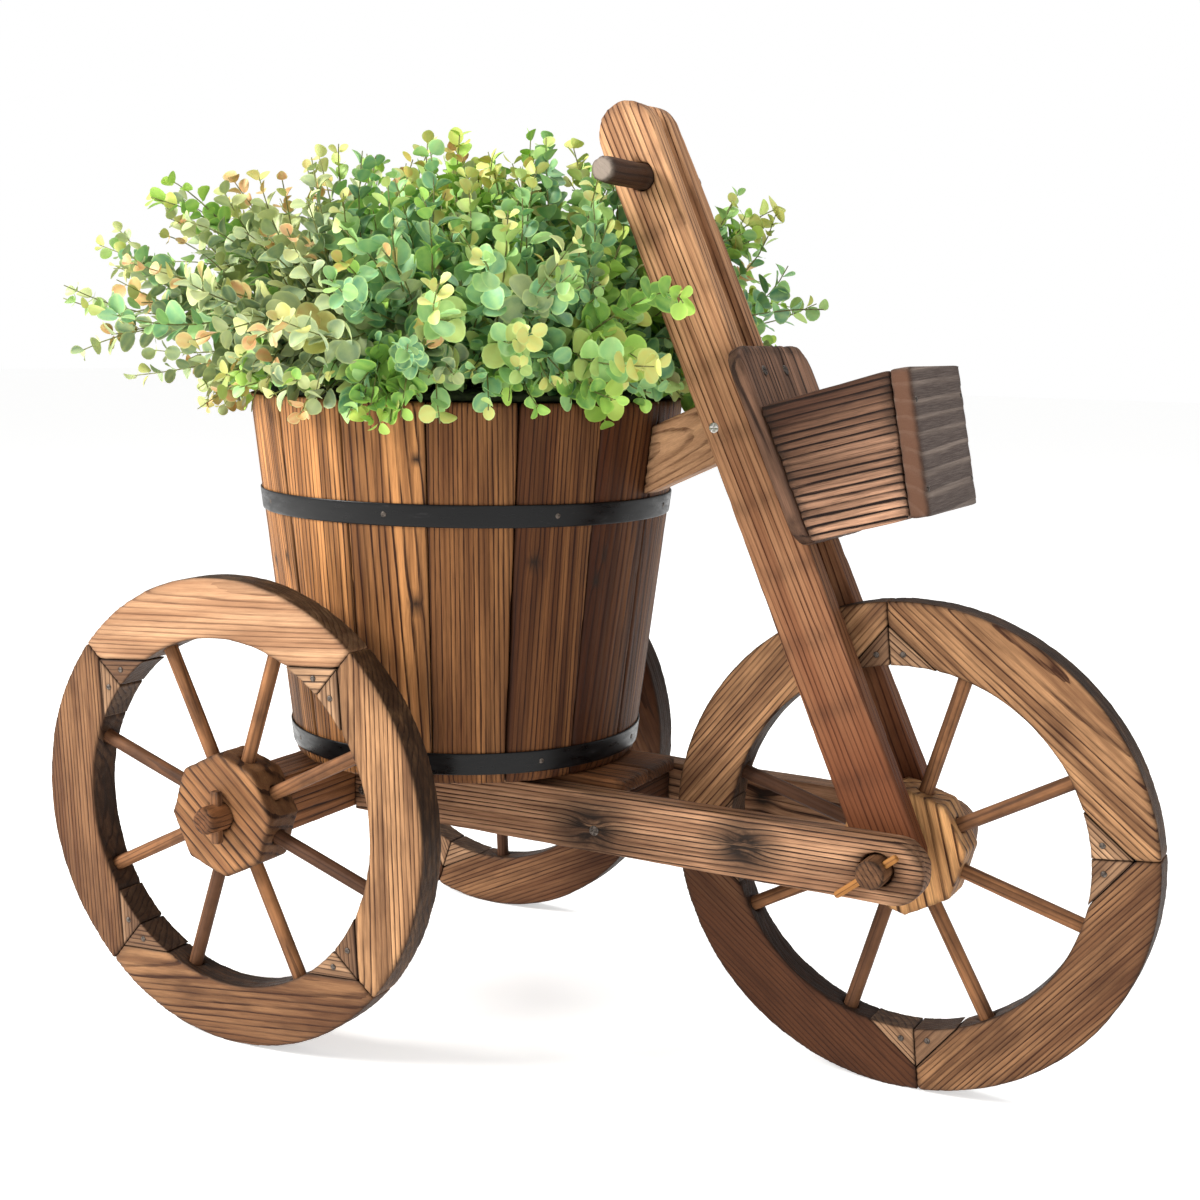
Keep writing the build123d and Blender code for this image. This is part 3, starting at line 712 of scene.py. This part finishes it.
def make_box(woods):
    slope = Vector((0.959, 0, 0.282))
    board(
        "box_back_plate", woods["plate"], fork_up, fork_forward, 41,
        worn=3, ridge=3.0, relief=0.25, tints=(0.15, 0.3), fade=(-0.4, 0.3),
    )
    for name, seed in (("box_side_right", 42), ("box_side_left", 43)):
        board(
            name, woods["grooved"], slope, SIDE, seed, "grooved", ridge=3.2, relief=0.6,
            chips=0.3, tints=(0.5, 0.6), fade=(-0.3, -1.1), pith_side=(60, 90),
        )
    board(
        "box_front", woods["weathered"], SIDE, slope, 44,
        worn=1, ridge=4.5, relief=0.08, chips=0.05, pith_side=(50, 60),
    )
    board("box_floor", woods["char"], slope, UP, 45, cell=1.3)


def make_barrel(woods, strap):
    axis = Vector((barrel_centre.x, barrel_centre.y, 0))
    stave_lean = 0.117

    def outward(middle):
        out = middle - axis
        out.z = 0
        return out.normalized()

    def stave(points):
        out = outward(Vector((points.max(0) + points.min(0)) / 2))
        return UP + out * stave_lean, out

    def stave_burn_and_shade(middle, dice):
        """The staves on the right, as seen from the camera, are darker than those on the left: partly
        burnt darker, partly painted shade on the side turned away from the key light.
        """
        to_right = outward(middle).dot(photo_right)
        # painted shade: the further a stave faces to the right, away from the key light, the darker its
        # tone, plus a random burnt tone
        return 0.36 + 0.3 * to_right + 0.25 * max(to_right, 0) + dice.uniform(-0.26, 0.26)

    def stave_knots(dice):
        """At most two knots on a stave."""
        return [
            (dice.uniform(-100, 100), dice.choice((-1, 1)) * dice.uniform(6, 18), dice.uniform(2.2, 3.6))
            for _ in range(dice.choice((0, 1, 1, 2)))
        ]

    carve(
        "barrel_staves_worn", ["barrel_staves"], "root", woods["stave"], stave, knots=stave_knots,
        cell=1.3, stretch=4, worn=1, ridge=2.6, relief=0.2, seed=51, tints=stave_burn_and_shade, fade=(0.0, 0.35),
    )
    board("barrel_floor", woods["char"], SIDE, UP, 52, cell=2.2, stretch=1.5)
    for node in ("upper_hoop", "lower_hoop"):
        make_hoop(node, strap)


def make_hoop(node, strap):
    """Strap with rounded edges and slight ripples that follows the staves."""
    low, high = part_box(node)
    middle = (low + high) / 2
    height = high.z - low.z
    outer = (high.x - low.x) / 2
    thickness = 1.2 * MM
    ripple = 0.05 * MM
    squareness = 0.35  # the lower, the closer the strap's section is to a rectangle
    around, outline = 240, 16
    dice = random.Random(61)
    phases = [dice.uniform(0, 2 * math.pi) for _ in range(4)]

    def squared(value):
        return math.copysign(abs(value) ** squareness, value)

    profile = [(squared(x) * thickness / 2, squared(y) * height / 2) for x, y in circle(outline)]
    points = []
    for i in range(around):
        angle = 2 * math.pi * i / around
        wave = sum(math.sin((k + 3) * angle + phases[k]) for k in range(4)) * ripple
        for across, along in profile:
            reach = outer - thickness / 2 - barrel_flare * (height / 2 - along) + across + wave
            points.append(middle + Vector((reach * math.cos(angle), reach * math.sin(angle), along)))
    faces = [
        tuple(ring * outline + spot % outline for ring, spot in ((i, k), (j, k), (j, k + 1), (i, k + 1)))
        for i, j in ((i, (i + 1) % around) for i in range(around))
        for k in range(outline)
    ]
    new_piece(node + "_strap", mesh_from(node, points, faces), strap, "root", [node])


# ------------------------------------------------------------------ fasteners
def head_profile(radius, height):
    """Half outline of a domed head, from its rim to its middle."""
    steps = [math.pi / 2 * k / 5 for k in range(6)]
    return [(radius * math.cos(t), height * math.sin(t)) for t in steps]


def make_heads(name, node, body, radius, material, recess=False):
    """Domed heads over each nail or screw of a node, with a cross recess in screws."""
    dome, foot_depth, recess_depth, sunk = 0.55 * MM, 0.9 * MM, 0.5 * MM, 0.5 * MM
    arm, arm_reach = radius * 0.16, radius * 0.75
    around = 32
    points, faces = [], []
    for part, _ in loose_parts(node):
        middle = part.mean(0)
        spread = part - middle
        _, vectors = np.linalg.eigh(spread.T @ spread)
        out = Vector(vectors[:, 2])
        reach = spread @ np.array(out)
        widths = np.linalg.norm(spread - np.outer(reach, out), axis=1)
        if widths[reach > 0].max() <= widths[reach < 0].max():
            out = -out
            reach = -reach
        top = Vector(middle) + out * (reach.max() - sunk)
        first = UP if abs(out.z) < 0.7 else FORWARD
        x_axis = first.cross(out).normalized()
        y_axis = out.cross(x_axis)
        start = len(points)
        rings = [(radius, -foot_depth)] + head_profile(radius, dome)
        for ring_radius, lift in rings[:-1]:
            for x, y in circle(around, ring_radius):
                in_cross = recess and min(abs(x), abs(y)) < arm and ring_radius < arm_reach
                drop = recess_depth if in_cross else 0
                points.append(top + x_axis * x + y_axis * y + out * (lift - drop))
        points.append(top + out * (0.0 if recess else dome))
        points.append(top - out * foot_depth)
        crown, foot = len(points) - 2, len(points) - 1
        rows = len(rings) - 1
        last = start + (rows - 1) * around
        for k in range(around):
            after = (k + 1) % around
            for row in range(start, last, around):
                faces.append((row + k, row + after, row + after + around, row + k + around))
            faces.append((last + k, last + after, crown))
            faces.append((start + after, start + k, foot))
    new_piece(name, mesh_from(name, points, faces), material, body, [node])


# -------------------------------------------------------------------- plant
def leaf_template():
    """Rounded leaf on a short stalk, cupped along its middle: points, faces, rim and vein."""
    rows = [
        (0.0, 0.05), (0.12, 0.07), (0.2, 0.52), (0.36, 0.88),
        (0.58, 1.0), (0.8, 0.82), (0.95, 0.44), (1.0, 0.1),
    ]
    columns = (-1, -0.55, 0, 0.55, 1)
    points, rim, vein = [], [], []
    for place, width in rows:
        for column in columns:
            across = column * width * 0.5
            cup = 0.5 * across * across - 0.2 * (place - 0.35) ** 2
            points.append((place, across, cup))
            rim.append(max(abs(column) ** 2, (place - 0.7) / 0.3, 0))
            vein.append(1.0 if column == 0 else 0.0)
    size = len(columns)
    faces = [
        (r * size + c, r * size + c + 1, (r + 1) * size + c + 1, (r + 1) * size + c)
        for r in range(len(rows) - 1)
        for c in range(size - 1)
    ]
    return np.array(points), faces, np.clip(rim, 0, 1), np.array(vein)


class Greenery:
    """Leaves or stems gathered into one mesh."""

    def __init__(self):
        self.points, self.faces, self.fields, self.count = [], [], [], 0

    def add(self, points, faces, tint, edge, vein):
        self.faces.extend(tuple(v + self.count for v in f) for f in faces)
        self.points.append(points)
        self.fields.append({"tint": np.full(len(points), tint), "edge": edge, "knot": vein})
        self.count += len(points)

    def finish(self, name, material, nodes, slot):
        mesh = mesh_from(name, np.concatenate(self.points), self.faces)
        give_fields(mesh, self.fields)
        new_piece(name, mesh, material, "plant", nodes)


def clear_of_fork(point, margin):
    """True where a leaf or stem stays behind the fork boards, the handlebar, the brace and the box."""
    ahead = (point - front_axle).dot(fork_forward)
    station = (point - front_axle).dot(fork_up)
    across = abs(point.y)
    boards_back, boards_half = -0.020, 0.032
    bar_station, bar_radius, bar_half = 0.436, 0.010, 0.074
    brace_top, brace_back, brace_half = 0.30, -0.14, 0.010
    box_back, box_half = 0.018, 0.07
    by_boards = ahead > boards_back - margin and across < boards_half + margin
    from_bar = math.hypot(ahead, station - bar_station)
    by_bar = from_bar < bar_radius + margin and across < bar_half + margin
    by_brace = station < brace_top + margin and ahead > brace_back and across < brace_half + margin
    by_box = ahead > box_back - margin and across < box_half + margin
    return not (by_boards or by_bar or by_brace or by_box)


def clear_of_barrel(point, margin):
    """True outside the staves: above the rim or beyond the barrel's side."""
    away = math.hypot(point.x - barrel_centre.x, point.y - barrel_centre.y)
    return point.z > barrel_high.z + margin or away > barrel_rim_radius + margin


def envelope(direction):
    """How far the canopy reaches from its middle in a direction."""
    radius, height, drop = 0.232, 0.113, 0.085
    flat = math.hypot(direction.x, direction.y) / radius
    tall = direction.z / (height if direction.z > 0 else drop)
    return 1 / math.hypot(flat, tall)


def add_tube(store, path, radius, tint):
    """Tube with closed ends that thins towards its far end."""
    sides, taper = 6, 0.6
    points = []
    for i, place in enumerate(path):
        run = (path[min(i + 1, len(path) - 1)] - path[max(i - 1, 0)]).normalized()
        x_axis = run.orthogonal().normalized()
        y_axis = run.cross(x_axis)
        thin = radius * (1 - taper * i / (len(path) - 1))
        points.extend(place + (x_axis * x + y_axis * y) * thin for x, y in circle(sides))
    faces = ring_faces(len(path), sides)
    faces.append(tuple(range(sides))[::-1])
    faces.append(tuple(range((len(path) - 1) * sides, len(path) * sides)))
    flat = np.zeros(len(points))
    store.add(np.array(points), faces, tint, flat, flat)


def sprig_path(foot, rise, tip, dice):
    """Points along a sprig's curved stem, cut short where it would meet the fork or the staves."""
    steps, first_outside = 16, 3
    swaying, fork_gap, stave_gap = 0.11, 0.004, 0.003
    sway = Vector([dice.uniform(-1, 1) for _ in range(3)]) * (tip - foot).length * swaying
    path = []
    for i in range(steps + 1):
        t = i / steps
        place = foot * (1 - t) ** 2 + rise * (2 * t * (1 - t)) + tip * t * t
        place += sway * math.sin(2 * math.pi * t) * t
        left_barrel = i < first_outside or clear_of_barrel(place, stave_gap)
        if not (left_barrel and clear_of_fork(place, fork_gap)):
            break
        path.append(place)
    return path


def canopy_sprigs(dice):
    """Stems that fan out of the barrel's mouth to the canopy's uneven outline."""
    middle_height, mouth_height, rise_height, mouth_radius = 0.051, 0.006, 0.016, 0.098
    middle = rim_centre + UP * middle_height
    mouth = rim_centre + UP * mouth_height
    golden_turn = 2.39996
    lowest, span = -0.42, 1.40
    count = 350
    headings = []
    for number in range(count):
        turn = number * golden_turn + dice.uniform(-0.3, 0.3)
        rising = min(lowest + span * (number + 0.5) / count, 1.0)
        lift = math.asin(rising) + dice.uniform(-0.16, 0.16)
        far = dice.uniform(0.84, 1.03) if number % 2 else dice.uniform(0.5, 0.85)
        headings.append((turn, lift, far))

    def patch(number, turns, lifts, fars):
        """More sprigs where the canopy is fuller, by ranges of direction and reach."""
        return [tuple(dice.uniform(*span) for span in (turns, lifts, fars)) for _ in range(number)]

    behind_fork = patch(36, (0.3, 1.1), (-0.3, 0.7), (0.8, 1.08))
    rear_right = patch(26, (3.3, 4.0), (-0.4, 0.5), (0.95, 1.14))
    stray = [(2.9, 0.0), (3.5, 0.12), (3.3, -0.3), (3.9, 0.4), (0.5, 0.35), (1.5, 0.5)]
    strays = [(turn, lift, dice.uniform(1.08, 1.16)) for turn, lift in stray]
    crown = [(0.35 * k, dice.uniform(1.25, 1.5), dice.uniform(0.55, 0.95)) for k in range(18)]
    for turn, lift, far in headings + behind_fork + rear_right + strays + crown:
        away = Vector((math.cos(turn) * math.cos(lift), math.sin(turn) * math.cos(lift), 0))
        heading = away + UP * math.sin(lift)
        tip = middle + heading * envelope(heading) * far
        foot_reach = min(mouth_radius, 0.02 + 0.1 * away.length) * dice.uniform(0.6, 1.0)
        foot = mouth + away.normalized() * foot_reach
        length = (tip - foot).length
        rise = foot + UP * length * 0.3 + away * length * 0.25
        rise.z = max(rise.z, barrel_high.z + rise_height)
        yield sprig_path(foot, rise, tip, dice)


def skirt_sprigs(dice):
    """Short stems that arch over the barrel's rim and hide it unevenly."""
    count, foot_height = 150, 0.007
    for number in range(count):
        turn = 2 * math.pi * (number + dice.uniform(-0.4, 0.4)) / count
        out = Vector((math.cos(turn), math.sin(turn), 0))
        foot = rim_centre + out * dice.uniform(0.07, 0.11) + UP * foot_height
        rise = rim_centre + out * dice.uniform(0.12, 0.15) + UP * dice.uniform(0.025, 0.06)
        hang = dice.uniform(-0.012, 0.006) if number % 4 == 0 else dice.uniform(0.002, 0.02)
        tip = rim_centre + out * (barrel_rim_radius + dice.uniform(0.006, 0.026)) + UP * hang
        yield sprig_path(foot, rise, tip, dice)


def hanging_sprigs(dice):
    """A cluster that hangs over the rim on the planter's right."""
    foot_radius, foot_height = 0.1, 0.007
    arch_radius, arch_height, tip_radius = barrel_rim_radius + 0.012, 0.045, barrel_rim_radius + 0.018
    for turn in (-1.40, -1.36, -1.32, -1.28, -1.24):
        out = Vector((math.cos(turn), math.sin(turn), 0))
        foot = rim_centre + out * foot_radius + UP * foot_height
        rise = rim_centre + out * arch_radius + UP * arch_height
        tip = rim_centre + out * tip_radius - UP * dice.uniform(0.007, 0.015)
        yield sprig_path(foot, rise, tip, dice)


def dress_sprig(path, store, tone, biggest, dice, leaf_shape, limits):
    """Paired round leaves along a stem, smaller towards its tip."""
    template, leaf_faces, rim, vein = leaf_shape
    low, high = limits
    overhang, fork_gap, stave_gap = 0.018, 0.003, 0.002
    shrink_from, pale_from = 0.55, 0.86
    travelled, pair = 0.0, 0
    gap = dice.uniform(0.0095, 0.0145)
    full = sum((path[i + 1] - path[i]).length for i in range(len(path) - 1))
    next_pair = full * dice.uniform(0.1, 0.22)
    for i in range(len(path) - 1):
        run = path[i + 1] - path[i]
        while travelled + run.length >= next_pair:
            place = path[i] + run * ((next_pair - travelled) / run.length)
            share = next_pair / full
            smaller = 0.5 * max(0, share - shrink_from) / (1 - shrink_from)
            size = biggest * (1.0 - smaller) * dice.uniform(0.75, 1.1)
            forward = run.normalized()
            across = forward.orthogonal().normalized()
            spin = pair * math.pi / 2 + dice.uniform(-0.6, 0.6)
            first = across * math.cos(spin) + forward.cross(across) * math.sin(spin)
            for side in (first, -first):
                lean = dice.uniform(0.25, 1.15)
                droop = UP * dice.uniform(-0.2, 0.3)
                length_axis = (side * math.cos(lean) + forward * math.sin(lean) + droop).normalized()
                flutter = Vector([dice.uniform(-0.9, 0.9) for _ in range(3)])
                normal = forward + UP * dice.uniform(0.0, 0.6) + flutter
                width_axis = normal.cross(length_axis).normalized()
                normal = length_axis.cross(width_axis)
                leaf_middle = place + length_axis * size * 0.6
                half_width = width_axis * size * 0.5
                spots = (place + length_axis * size, leaf_middle + half_width, leaf_middle - half_width)
                if not all(clear_of_fork(s, fork_gap) and clear_of_barrel(s, stave_gap) for s in spots):
                    continue
                if any(s.x < low.x - overhang or abs(s.y) > high.y + overhang for s in spots):
                    continue
                narrow, cupped = dice.uniform(0.74, 0.98), dice.uniform(0.4, 1.6)
                basis = np.array([length_axis, width_axis * narrow, normal * cupped])
                points = template * size @ basis + np.array(place)
                tint = tone + dice.uniform(-0.2, 0.2) + (0.4 if share > pale_from else 0)
                store.add(points, leaf_faces, min(max(tint, 0), 1), rim, vein)
            pair += 1
            next_pair += gap * (1.15 - 0.4 * share)
        travelled += run.length


def make_plant(materials):
    """Sprigs of round paired leaves: sage behind, green in the middle, lime ahead."""
    dice = random.Random(7)
    sides = ("left", "right")
    groups = {(name, side): Greenery() for name in ("sage", "green", "lime") for side in sides}
    shares = {"sage": (0.78, 0.12, 0.10), "green": (0.12, 0.62, 0.26), "lime": (0.1, 0.5, 0.4)}
    stems = Greenery()
    stem_radius = 0.9 * MM
    leaf_shape = leaf_template()
    low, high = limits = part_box("foliage")
    overhang, fewest_points = 0.012, 5
    sage_until, green_until = -0.07, 0.09
    sprigs = [(path, None) for path in (*canopy_sprigs(dice), *skirt_sprigs(dice))]
    sprigs += [(path, ("lime", 0.02, 0.3)) for path in hanging_sprigs(dice)]
    for path, given in sprigs:
        path = [p for p in path if p.x > low.x - overhang and abs(p.y) < high.y + overhang]
        if len(path) < fewest_points:
            continue
        add_tube(stems, path, stem_radius, dice.random())
        sideways = (path[-1] - barrel_centre).dot(photo_right)
        part = "sage" if sideways < sage_until else ("green" if sideways < green_until else "lime")
        group = dice.choices(("sage", "green", "lime"), shares[part])[0]
        biggest = dice.uniform(0.016, 0.021) if part == "sage" else dice.uniform(0.0155, 0.0225)
        if part == "lime" and path[-1].y < 0:
            biggest = dice.uniform(0.019, 0.0235)
        tone = dice.uniform(0.05, 0.8)
        group, biggest, tone = given or (group, biggest, tone)
        side = "left" if path[-1].y > 0 else "right"
        dress_sprig(path, groups[group, side], tone, biggest, dice, leaf_shape, limits)
    for (name, side), group in groups.items():
        group.finish(f"leaves_{name}_{side}", materials[name], ["foliage"], "leaf_green")
    stems.finish("sprig_stems", materials["stem"], ["foliage_stems"], "stem")


def make_moss(material):
    """Lumpy mossy mat over the plant's base plug."""
    low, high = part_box("plant_base")
    middle = (low + high) / 2
    lip = (high.x - low.x) / 2
    lip_width, lip_height, bevel = 0.0215, 0.0043, 0.0005
    plug = lip - lip_width
    lip_bottom = high.z - lip_height
    rings = [(0.0, low.z), (plug * 0.5, low.z), (plug * 0.93, low.z), (plug, lip_bottom)]
    rings += [(lip, lip_bottom + 0.0006), (lip, high.z - bevel)]
    rings += [(lip * (1 - k / 18), high.z) for k in range(1, 18)] + [(0.0, high.z)]
    around = 96
    points = []
    for radius, height in rings:
        points.extend((middle.x + x, middle.y + y, height) for x, y in circle(around, radius))
    points = np.array(points)
    lump, small_lump, moss_height, bare_rim = 0.009, 0.004, 0.002, 0.002
    lumps = value_noise(points / lump, 71) + 0.5 * value_noise(points / small_lump, 72)
    inside = np.hypot(points[:, 0] - middle.x, points[:, 1] - middle.y) < lip - bare_rim
    on_top = inside & (points[:, 2] > high.z - 0.0006)
    points[:, 2] += np.where(on_top, moss_height * (1 + lumps), 0)
    mesh = mesh_from("moss", points, ring_faces(len(rings), around))
    work = bmesh.new()
    work.from_mesh(mesh)
    bmesh.ops.remove_doubles(work, verts=work.verts, dist=1e-6)
    bmesh.ops.recalc_face_normals(work, faces=work.faces)
    work.to_mesh(mesh)
    work.free()
    new_piece("moss_mat", mesh, material, "plant", ["plant_base"])


# -------------------------------------------------------------- surroundings
def area_light(name, place, target, size, power, colour):
    data = bpy.data.lights.new(name, "AREA")
    data.shape = "DISK"
    data.size = size
    data.energy = power
    data.color = colour
    light = bpy.data.objects.new(name, data)
    light.location = place
    light.rotation_euler = (Vector(target) - Vector(place)).to_track_quat("-Z", "Y").to_euler()
    bpy.context.scene.collection.objects.link(light)


def add_studio():
    """Pale floor, bright even surroundings and three soft lights."""
    white = (1, 1, 1, 1)
    material, tree, shader = new_material("floor", (0.9, 0.9, 0.89, 1))
    connect(tree, shader, {"Roughness": 0.9, "Emission Color": white, "Emission Strength": 0.53})
    half = 14
    corners = [(-half, -half, 0), (half, -half, 0), (half, half, 0), (-half, half, 0)]
    floor = mesh_from("floor", corners, [(0, 1, 2, 3)])
    floor.materials.append(material)
    ground = bpy.data.objects.new("floor", floor)
    bpy.context.scene.collection.objects.link(ground)
    world = bpy.data.worlds.new("studio")
    bpy.context.scene.world = world
    world.use_nodes = True
    tree = world.node_tree
    around = tree.nodes["Background"]
    connect(tree, around, {"Color": white, "Strength": 0.5})
    behind = add_node(tree, "ShaderNodeBackground", {"Color": white, "Strength": 1.0})
    seen = add_node(tree, "ShaderNodeLightPath").outputs["Is Camera Ray"]
    both = add_node(tree, "ShaderNodeMixShader", {0: seen, 1: around.outputs[0], 2: behind.outputs[0]})
    connect(tree, tree.nodes["World Output"], {"Surface": both.outputs[0]})
    area_light("key", (-1.45, -1.3, 1.35), (-0.05, 0, 0.25), 0.9, 70, (1, 0.985, 0.96))
    area_light("fill", (1.7, -1.3, 0.9), (0, 0, 0.3), 1.4, 9, (1, 1, 1))
    area_light("top", (0.1, 0.4, 2.2), (0, 0, 0.3), 1.2, 22, (1, 1, 1))
    bpy.context.scene.view_settings.view_transform = "Standard"


# --------------------------------------------------------------------- scene
add_camera()
add_studio()

woods = make_woods()
steel, nail_iron, strap = zinc(), iron(), black_strap()

make_wheel("front", "front_wheel", 1, (0.48, 0.42, 1.0, 0.7), woods)
make_wheel("rear_right", "rear_right_wheel", 2, (0.0, 0.78, 0.74, 0.4), woods)
make_wheel("rear_left", "rear_left_wheel", 3, (0.85, 0.9, 0.8, 0.9), woods)
make_chassis(woods)
make_box(woods)
make_barrel(woods, strap)

nail_radius, screw_radius = 1.8 * MM, 3.2 * MM
for prefix in ("front", "rear_right", "rear_left"):
    nails, wheel = f"{prefix}_rim_nails", f"{prefix}_wheel"
    make_heads(f"{prefix}_nail_heads", nails, wheel, nail_radius, nail_iron)
for name in ("hoop_nail", "box_nail"):
    make_heads(f"{name}_heads", f"{name}s", "root", nail_radius, nail_iron)
for node, metal in (("rail_screws", nail_iron), ("fork_screws", steel), ("box_plate_screws", nail_iron)):
    make_heads(f"{node}_heads", node, "root", screw_radius, metal, recess=True)

make_plant(make_leaf_materials())
make_moss(plain_noise("moss", rgb(22, 30, 14), rgb(48, 58, 26), 260, 0.95))
